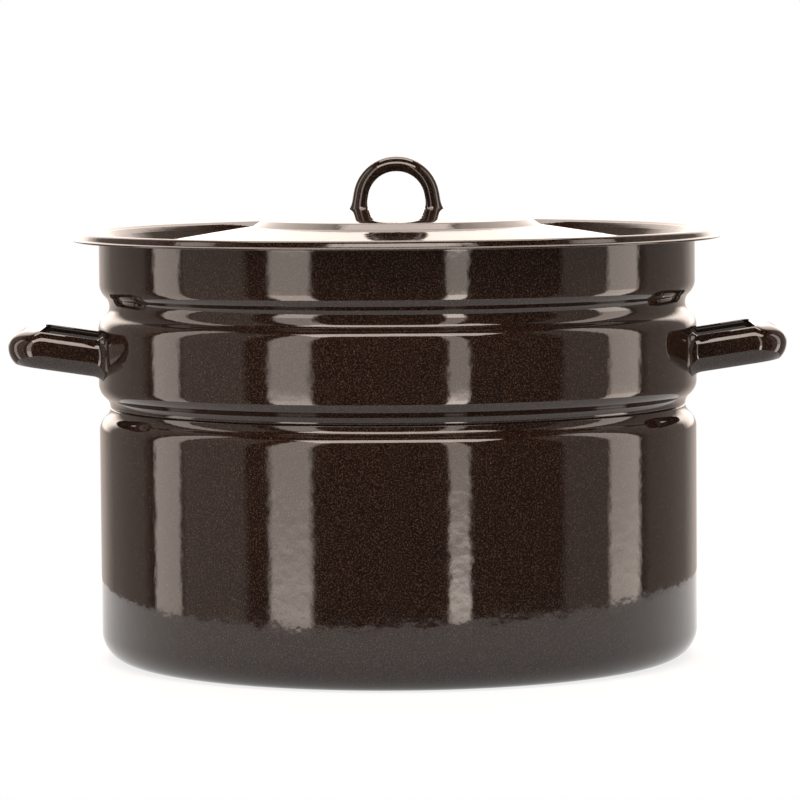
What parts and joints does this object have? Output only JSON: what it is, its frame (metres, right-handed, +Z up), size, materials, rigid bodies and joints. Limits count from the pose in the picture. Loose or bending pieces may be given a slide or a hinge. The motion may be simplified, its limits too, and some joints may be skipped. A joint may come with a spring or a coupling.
{
  "type": "water bath canner",
  "caption": "Enamelled steel water bath canner: beaded pot with strap handles, sunken lid with arch handle, and a lifting wire jar rack.",
  "frame": {"origin": "on the pot's axis, at the plane it stands on", "axes": "+Z up through the lid handle, X through both side handles, -Y is the front"},
  "size_m": [0.4654, 0.3882, 0.3019],
  "materials": {
    "enamel": "glossy dark brown vitreous enamel with fine tan speckle",
    "wire": "bright plated steel wire, lightly dulled by hot water"
  },
  "bodies": {
    "pot": {"pot_shell": "enamel", "side_handle_left": "enamel", "side_handle_right": "enamel"},
    "rack": {"rack_base_ring": "wire", "rack_top_ring": "wire", "rack_centre_ring_lower": "wire", "rack_centre_ring_upper": "wire", "rack_cross_bar_left": "wire", "rack_cross_bar_right": "wire", "rack_hinge_bar_left": "wire", "rack_hinge_bar_right": "wire", "rack_floor_wire_01": "wire", "rack_floor_wire_02": "wire", "rack_floor_wire_03": "wire", "rack_floor_wire_04": "wire", "rack_floor_wire_05": "wire", "rack_floor_wire_06": "wire", "rack_floor_wire_07": "wire", "rack_floor_wire_08": "wire", "rack_floor_wire_09": "wire", "rack_floor_wire_10": "wire", "rack_floor_wire_11": "wire", "rack_floor_wire_12": "wire", "rack_divider_1": "wire", "rack_divider_2": "wire", "rack_divider_3": "wire", "rack_divider_4": "wire", "rack_divider_5": "wire", "rack_divider_6": "wire", "rack_foot_1": "wire", "rack_foot_2": "wire", "rack_foot_3": "wire", "rack_foot_4": "wire"},
    "lid": {"lid_shell": "enamel", "lid_handle": "enamel"},
    "rack_handle_left": {"rack_handle_left": "wire"},
    "rack_handle_right": {"rack_handle_right": "wire"}
  },
  "joints": [
    {"name": "rack_lift", "type": "slide", "parent": "pot", "child": "rack", "axis": [0, 0, 1], "range_m": [0, 0.26]},
    {"name": "lid_lift", "type": "slide", "parent": "rack", "child": "lid", "axis": [0, 0, 1], "range_m": [0, 0.25]},
    {"name": "rack_handle_left_fold", "type": "hinge", "parent": "rack", "child": "rack_handle_left", "pos_m": [-0.1435, 0, 0.095], "axis": [0, 1, 0], "range_deg": [0, 80]},
    {"name": "rack_handle_right_fold", "type": "hinge", "parent": "rack", "child": "rack_handle_right", "pos_m": [0.1435, 0, 0.095], "axis": [0, -1, 0], "range_deg": [0, 80]}
  ]
}
